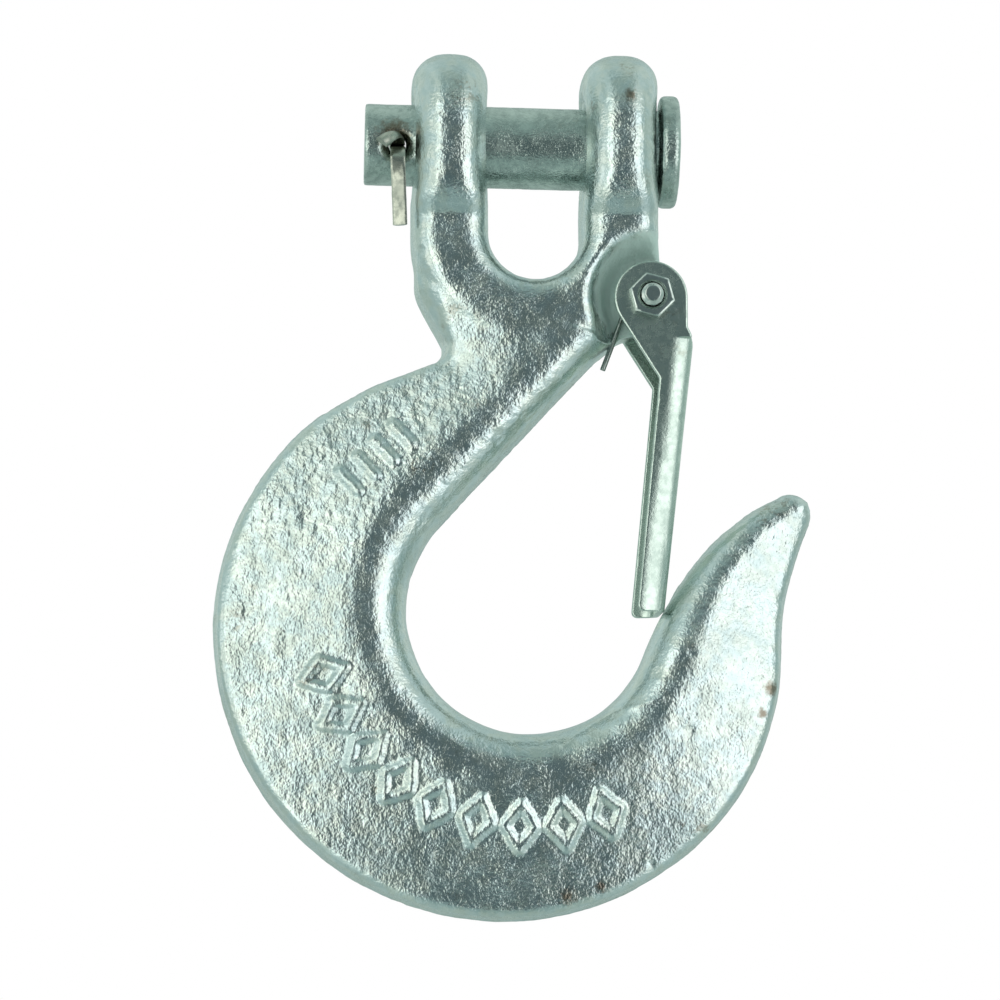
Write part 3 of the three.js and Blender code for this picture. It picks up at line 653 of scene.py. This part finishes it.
def spring_mesh():
    n = 24 * COIL_TURNS + 8
    angle = np.radians(np.linspace(COIL_START, COIL_END + 360 * COIL_TURNS, n))
    coil = np.c_[PIVOT[0] + COIL_RADIUS * np.cos(angle), np.linspace(ARM_Y, TAIL_Y, n),
                 PIVOT[1] + COIL_RADIUS * np.sin(angle)]
    arm = np.array([SPRING_ARM[0], ARM_END_Y, SPRING_ARM[1]])
    tail = np.array([SPRING_TAIL[0], TAIL_Y, SPRING_TAIL[1]])
    route = ([arm + (coil[0] - arm) * t for t in (0, 0.3, 0.6, 0.85)] + list(coil)
             + [coil[-1] + (tail - coil[-1]) * t for t in (0.2, 0.5, 0.75, 1)])
    a = np.linspace(0, 2 * np.pi, 14, endpoint=False)
    section = np.c_[np.cos(a), np.sin(a)] * WIRE_RADIUS
    return sweep(evenly(spline(route, 6), 420), section, np.array([0, 1.0, 0]))


# Nut and bolt: rings about the pivot

HEX_ACROSS, HEX_TURN, NUT_HEIGHT, NUT_BORE, NUT_MOUTH = 5.5, math.radians(45), 2.4, 1.7, 1.95
BOLT_RADIUS, BOLT_TIP, BOLT_END_RADIUS, BOLT_HEAD, BOLT_PITCH = 1.5, -10.1, 0.95, 2.0, 0.5
TURN = np.linspace(0, 2 * np.pi, 96, endpoint=False)
HEX_FLAT = HEX_ACROSS / 2 / np.cos(np.abs((TURN - HEX_TURN) % (math.pi / 3) - math.pi / 6))


def ring(radius, y):
    radius, y = np.broadcast_to(radius, TURN.shape), np.broadcast_to(y, TURN.shape)
    return np.c_[PIVOT[0] + radius * np.cos(TURN), y, PIVOT[1] + radius * np.sin(TURN)]


def turned_off(face, side, cap):
    """The height of a hexagon's face where its corners are chamfered, at a radius."""
    return lambda radius: face + side * 0.5 * np.maximum(radius - cap, 0)


def nut_mesh():
    back = -LATCH_HALF - 0.02
    front = back - NUT_HEIGHT
    cap = HEX_ACROSS / 2 + 0.12
    top, foot = turned_off(front, 1, cap), turned_off(back, -1, cap)
    inside, edge = HEX_FLAT - 0.30, HEX_FLAT - 0.07
    rows = np.array([
        ring(NUT_BORE, back), ring(2.3, back), ring(edge, foot(edge)), ring(HEX_FLAT, foot(HEX_FLAT) - 0.07),
        ring(HEX_FLAT, top(HEX_FLAT) + 0.30), ring(HEX_FLAT - 0.02, top(HEX_FLAT) + 0.17),
        ring(edge, top(edge) + 0.07), ring(HEX_FLAT - 0.17, top(edge) + 0.02), ring(inside, top(inside)),
        ring(2.3, front), ring(NUT_MOUTH + 0.10, front), ring(NUT_MOUTH, front + 0.05),
        ring(NUT_BORE, front + NUT_MOUTH - NUT_BORE)])
    n, m = rows.shape[:2]
    i, j = np.meshgrid(np.arange(n), np.arange(m), indexing="ij")
    k, following = (j + 1) % m, (i + 1) % n
    quads = np.stack([i * m + j, following * m + j, following * m + k, i * m + k], -1).reshape(-1, 4)
    points = rows.reshape(-1, 3)
    return points, outward(points, quads)


def bolt_mesh():
    seat = LATCH_HALF + 0.02
    rear, cap = seat + BOLT_HEAD, HEX_ACROSS / 2 - 0.1
    rows = [ring(0.5, BOLT_TIP + 0.03), ring(BOLT_END_RADIUS, BOLT_TIP),
            ring(BOLT_END_RADIUS + 0.1, BOLT_TIP + 0.03)]
    for y in np.arange(BOLT_TIP + 0.12, BOLT_TIP + 4.2, 0.055):
        flank = np.abs((y / BOLT_PITCH + TURN / (2 * np.pi)) % 1 - 0.5) * 2
        thread = BOLT_RADIUS - 0.3 * np.clip(flank * 1.25 - 0.1, 0, 1)
        chamfer = BOLT_END_RADIUS + 0.1 + (y - BOLT_TIP - 0.1)
        rows.append(ring(np.minimum(thread, chamfer), y))
    corner = rear - 0.05 - 0.5 * np.maximum(HEX_FLAT - cap, 0)
    rows += [ring(BOLT_RADIUS, BOLT_TIP + 4.4), ring(BOLT_RADIUS, seat), ring(HEX_FLAT, seat),
             ring(HEX_FLAT, corner), ring(cap, rear), ring(1.5, rear), ring(1.3, rear - 0.08)]
    points, quads = loft(rows)
    return points, outward(points, quads)


# Materials

class Nodes:
    """A short way to write a node tree."""

    def __init__(self, tree):
        self.tree = tree
        tree.nodes.clear()

    def add(self, kind, *inputs, **settings):
        """A node; inputs are (socket, value or output) pairs."""
        node = self.tree.nodes.new("ShaderNode" + kind)
        for key, value in settings.items():
            setattr(node, key, value)
        for key, value in inputs:
            if isinstance(value, bpy.types.NodeSocket):
                self.tree.links.new(value, node.inputs[key])
            else:
                node.inputs[key].default_value = value
        return node

    def noise(self, where, size, detail=2.0, roughness=0.5):
        """Noise from about 0.2 to 0.8, its bumps size millimetres apart."""
        return self.add("TexNoise", ("Vector", where), ("Scale", 1 / (size * MM)), ("Detail", detail),
                        ("Roughness", roughness)).outputs["Fac"]

    def between(self, value, low, high, out_low=0.0, out_high=1.0):
        node = self.add("MapRange", ("Value", value), ("From Min", low), ("From Max", high),
                        ("To Min", out_low), ("To Max", out_high), interpolation_type="SMOOTHSTEP")
        return node.outputs["Result"]

    def from_place(self, where, place):
        """Distance in metres to a place given in millimetres."""
        node = self.add("VectorMath", (0, where), (1, [v * MM for v in place]), operation="DISTANCE")
        return node.outputs["Value"]

    def maths(self, operation, a, b=0.0):
        return self.add("Math", (0, a), (1, b), operation=operation).outputs[0]

    def mixed(self, share, a, b):
        node = self.add("Mix", (0, share), (6, a), (7, b), data_type="RGBA")
        return node.outputs[2]


def rgb(r, g, b):
    return (r, g, b, 1.0)


WARM_TINT, COOL_TINT = rgb(0.78, 0.78, 0.66), rgb(0.60, 0.76, 0.84)
# The rust brown is rust, and also painted shade round and in the pin's cross hole; the pale dull zinc is
# painted light on the latch's recess.
STAIN, BROWN_RUST_AND_SHADE, PAINTED_LIGHT_ZINC = rgb(0.33, 0.27, 0.18), rgb(0.17, 0.10, 0.045), rgb(0.62, 0.76, 0.72)


def metal(name, light, dark, rough, speck=0.5, grain=(0.75, 0.28), bump=0.010, tint=0.0, stains=0.0,
          rust_and_shade=(), matt_and_painted_light=()):
    """Bare or plated steel: clouded colour, rougher patches and fine grain.

    rough is the range of roughness, grain the sizes of the skin's bumps and bump their height. The brown
    spots, each a place and a radius, are rust, and painted shade where they ring the pin's cross hole; the
    matt spots, each a place and a radius, are rougher and also paler and less metallic, which is painted
    light.
    """
    material = bpy.data.materials.new(name)
    material.use_nodes = True
    n = Nodes(material.node_tree)
    where = n.add("TexCoord").outputs["Object"]
    clouds = n.between(n.noise(where, 6.0, 3.0), 0.35, 0.65)
    fine = n.between(n.noise(where, 0.9, 4.0, 0.62), 0.38, 0.66)
    colour = n.mixed(n.maths("MULTIPLY", n.maths("ADD", clouds, fine), speck), light, dark)
    if tint:
        hue = n.between(n.noise(where, 2.2, 3.0), 0.36, 0.64)
        colour = n.mixed(tint, colour, n.mixed(hue, WARM_TINT, COOL_TINT))
    if stains:
        blot = n.maths("MULTIPLY", n.between(n.noise(where, 7.0, 2.0), 0.60, 0.72),
                       n.between(n.noise(where, 1.1, 4.0, 0.65), 0.47, 0.60))
        colour = n.mixed(n.maths("MULTIPLY", blot, stains), colour, STAIN)
    # Brown spots: rust on the forging; round the pin's cross hole they are painted shade as well as rust.
    for place, size in rust_and_shade:
        away = n.from_place(where, place)
        ragged = n.maths("ADD", away, n.maths("MULTIPLY", n.noise(where, 0.8, 3.0, 0.6), size * MM * 1.2))
        spot = n.between(ragged, size * MM * 1.5, size * MM * 0.9)
        colour = n.mixed(n.maths("MULTIPLY", spot, 0.75), colour, BROWN_RUST_AND_SHADE)
    patches = n.maths("ADD", n.maths("MULTIPLY", clouds, 0.5), n.maths("MULTIPLY", fine, 0.5))
    shine = n.between(patches, 0.1, 0.9, *rough)
    facets = n.add("TexVoronoi", ("Vector", where), ("Scale", 1 / (grain[0] * 1.5 * MM))).outputs["Distance"]
    coarse = n.maths("ADD", n.noise(where, grain[0], 1.5, 0.6), n.maths("MULTIPLY", facets, 0.5))
    height = n.maths("ADD", coarse, n.maths("MULTIPLY", n.noise(where, grain[1], 1.0), 0.3))
    metallic = 1.0
    # Matt spots: rougher, and also paler and less metallic, which is painted light.
    for place, size in matt_and_painted_light:
        ragged = n.maths("MULTIPLY", n.noise(where, 1.6, 3.0, 0.6), 2.5 * MM)
        away = n.maths("ADD", n.from_place(where, place), ragged)
        share = n.between(away, (size + 2.4) * MM, size * MM)
        shine = n.maths("ADD", shine, n.maths("MULTIPLY", share, 0.22))
        metallic = n.between(share, 0.0, 1.0, 1.0, 0.35)
        colour = n.mixed(share, colour, PAINTED_LIGHT_ZINC)
    height = n.maths("MULTIPLY", height, n.between(n.noise(where, 3.4, 3.0), 0.34, 0.66, 0.7, 1.2))
    relief = n.add("Bump", ("Height", height), ("Strength", 1.0), ("Distance", bump * MM))
    shader = n.add("BsdfPrincipled", ("Base Color", colour), ("Metallic", metallic), ("Roughness", shine),
                   ("Normal", relief.outputs["Normal"]))
    n.add("OutputMaterial", ("Surface", shader.outputs["BSDF"]))
    return material


FORGING_RUST = [((4.4, -6.2, -102.9), 2.1), ((8.9, -5.8, -101.6), 1.5), ((31.8, -4.6, -74.8), 1.6),
                ((30.6, -5, -78.2), 1.1), ((12.6, -12, 5.5), 1.5)]
# Dark brown round the clevis pin's cross hole: painted shade in the hole and on its rim, with some rust.
CROSS_HOLE_RUST_AND_SHADE = [((-19.2, -5.2, 0.6), 3.5)]
# Round the latch's pivot the recess is made matt and paler: painted light on walls that the lamps leave dark.
RECESS_MATT_AND_PAINTED_LIGHT = [((16.0, -5.5, -20.6), 8.2)]

forging_zinc = metal(
    "forging_zinc", rgb(0.70, 0.755, 0.745), rgb(0.58, 0.66, 0.65), (0.16, 0.26), grain=(0.33, 0.16),
    bump=0.060, tint=0.22, stains=0.5, rust_and_shade=FORGING_RUST, matt_and_painted_light=RECESS_MATT_AND_PAINTED_LIGHT)
latch_zinc = metal(
    "latch_zinc", rgb(0.70, 0.78, 0.72), rgb(0.50, 0.59, 0.54), (0.20, 0.30), speck=0.45,
    grain=(0.30, 0.15), bump=0.014, stains=0.4)
pin_steel = metal(
    "pin_steel", rgb(0.62, 0.70, 0.66), rgb(0.36, 0.43, 0.41), (0.18, 0.30), grain=(0.26, 0.14),
    bump=0.058, stains=0.3, rust_and_shade=CROSS_HOLE_RUST_AND_SHADE)
wire_steel = metal("wire_steel", rgb(0.60, 0.60, 0.52), rgb(0.34, 0.36, 0.32), (0.22, 0.36), bump=0.016)
fastener_zinc = metal("fastener_zinc", rgb(0.72, 0.76, 0.73), rgb(0.50, 0.57, 0.54), (0.15, 0.28), bump=0.008)
spring_steel = metal("spring_steel", rgb(0.36, 0.40, 0.38), rgb(0.22, 0.26, 0.24), (0.20, 0.35), bump=0.006)


# The pieces, each standing for its CAD node

def put(name, mesh, material, body, node, smooth_angle=None):
    piece = make_object(name, *mesh, material, smooth_angle)
    if body:
        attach(piece, body)
    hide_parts(node)
    return piece


put("hook_forging", forging(), forging_zinc, "hook", "hook_body")
put("latch_channel", latch_mesh(), latch_zinc, "latch", "latch")
put("pin_turned", clevis_pin_mesh(), pin_steel, "pin", "clevis_pin")
put("split_pin_wire", split_pin_mesh(), wire_steel, "pin", "split_pin", 50)
put("latch_nut_hexagon", nut_mesh(), fastener_zinc, "hook", "latch_nut", 22)
put("latch_bolt_threaded", bolt_mesh(), fastener_zinc, "hook", "latch_bolt", 22)
spring = put("latch_spring_wire", spring_mesh(), spring_steel, None, "latch_spring")
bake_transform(spring)


# Floor, light and camera

FLOOR_Z, FLOOR_NEAR, FLOOR_FAR, FLOOR_SIDE = -125.0, -1500.0, 700.0, 1500.0

paint = bpy.data.materials.new("floor_paint")
paint.use_nodes = True
n = Nodes(paint.node_tree)
spot = n.add("TexCoord").outputs["Object"]
pale = n.mixed(n.noise(spot, 40.0, 4.0), rgb(0.86, 0.86, 0.85), rgb(0.90, 0.90, 0.89))
board = n.add("BsdfPrincipled", ("Base Color", pale), ("Roughness", 0.8), ("Emission Color", rgb(1, 1, 1)),
              ("Emission Strength", 0.30))
n.add("OutputMaterial", ("Surface", board.outputs["BSDF"]))
corners = [(-FLOOR_SIDE, FLOOR_NEAR), (FLOOR_SIDE, FLOOR_NEAR),
           (FLOOR_SIDE, FLOOR_FAR), (-FLOOR_SIDE, FLOOR_FAR)]
floor = make_object("floor", [(x, y, FLOOR_Z) for x, y in corners], [(0, 1, 2, 3)], paint)
floor.visible_glossy = False

# The studio is a world by direction. A dark gap runs over the top from front to back, with a soft light
# to either side of it and grey-green walls beyond; overhead, behind and below are a paler grey.

world = bpy.data.worlds.new("studio")
bpy.context.scene.world = world
world.use_nodes = True
n = Nodes(world.node_tree)
way = n.add("SeparateXYZ", (0, n.add("TexCoord").outputs["Generated"]))
sideways, ahead, up = way.outputs
angle = n.maths("ARCSINE", sideways)
ramp = n.add("ValToRGB", (0, n.maths("ADD", n.maths("MULTIPLY", angle, 1 / math.pi), 0.5)))
WALL, GAP, FAR = (0.37, 0.50, 0.47), (0.10, 0.14, 0.145), (1.10, 1.20, 1.12)
LEFT, RIGHT = (1.52, 1.62, 1.50), (1.50, 1.58, 1.54)
STUDIO = [(-90, FAR), (-56, FAR), (-46, WALL), (-36, LEFT), (-18, LEFT), (-11, GAP),
          (19, GAP), (25.5, RIGHT), (54, RIGHT), (72, WALL), (90, WALL)]
stops = ramp.color_ramp.elements
for i, (degrees, colour) in enumerate(STUDIO):
    stop = stops[i] if i < 2 else stops.new(0.999)
    stop.position = degrees / 180 + 0.5
    stop.color = rgb(*colour)
steepness = n.maths("ARCTAN2", up, n.maths("MULTIPLY", ahead, -1.0))
high = n.between(steepness, math.radians(14), math.radians(48))
low = n.between(steepness, math.radians(-24), math.radians(-46))
faded = n.mixed(n.maths("MULTIPLY", n.maths("ADD", high, low), 0.8), ramp.outputs["Color"], rgb(*WALL))
above = n.between(steepness, math.radians(64), math.radians(90))
beneath = n.between(steepness, math.radians(-60), math.radians(-84))
behind = n.between(steepness, math.radians(112), math.radians(150), 0.75, 0.5)
roofed = n.mixed(n.maths("MULTIPLY", above, behind), faded, rgb(0.60, 0.72, 0.67))
studio = n.mixed(n.maths("MULTIPLY", beneath, 0.75), roofed, rgb(0.44, 0.55, 0.51))
backdrop = n.mixed(n.add("LightPath").outputs["Is Camera Ray"], studio, rgb(1, 1, 1))
sky = n.add("Background", ("Color", backdrop), ("Strength", 1.0))
n.add("OutputWorld", ("Surface", sky.outputs["Background"]))

AZIMUTH, ELEVATION, DISTANCE = math.radians(-2.5), math.radians(-6), 600.0
SENSOR, FRAME_WIDTH, AIM_RIGHT, AIM_UP = 36.0, 138.0, -4.62, -48.44

back = Vector((math.sin(AZIMUTH) * math.cos(ELEVATION), -math.cos(AZIMUTH) * math.cos(ELEVATION),
               math.sin(ELEVATION)))
right = Vector((math.cos(AZIMUTH), math.sin(AZIMUTH), 0))
aim = right * AIM_RIGHT + back.cross(right) * AIM_UP
lens = bpy.data.cameras.new("camera")
lens.sensor_width, lens.lens = SENSOR, SENSOR * DISTANCE / FRAME_WIDTH
lens.clip_start, lens.clip_end = 0.01, 10.0
camera = bpy.data.objects.new("camera", lens)
camera.location = (aim + back * DISTANCE) * MM
camera.rotation_euler = back.to_track_quat("Z", "Y").to_euler()
bpy.context.scene.collection.objects.link(camera)
bpy.context.scene.camera = camera
bpy.context.scene.view_settings.view_transform = "Standard"
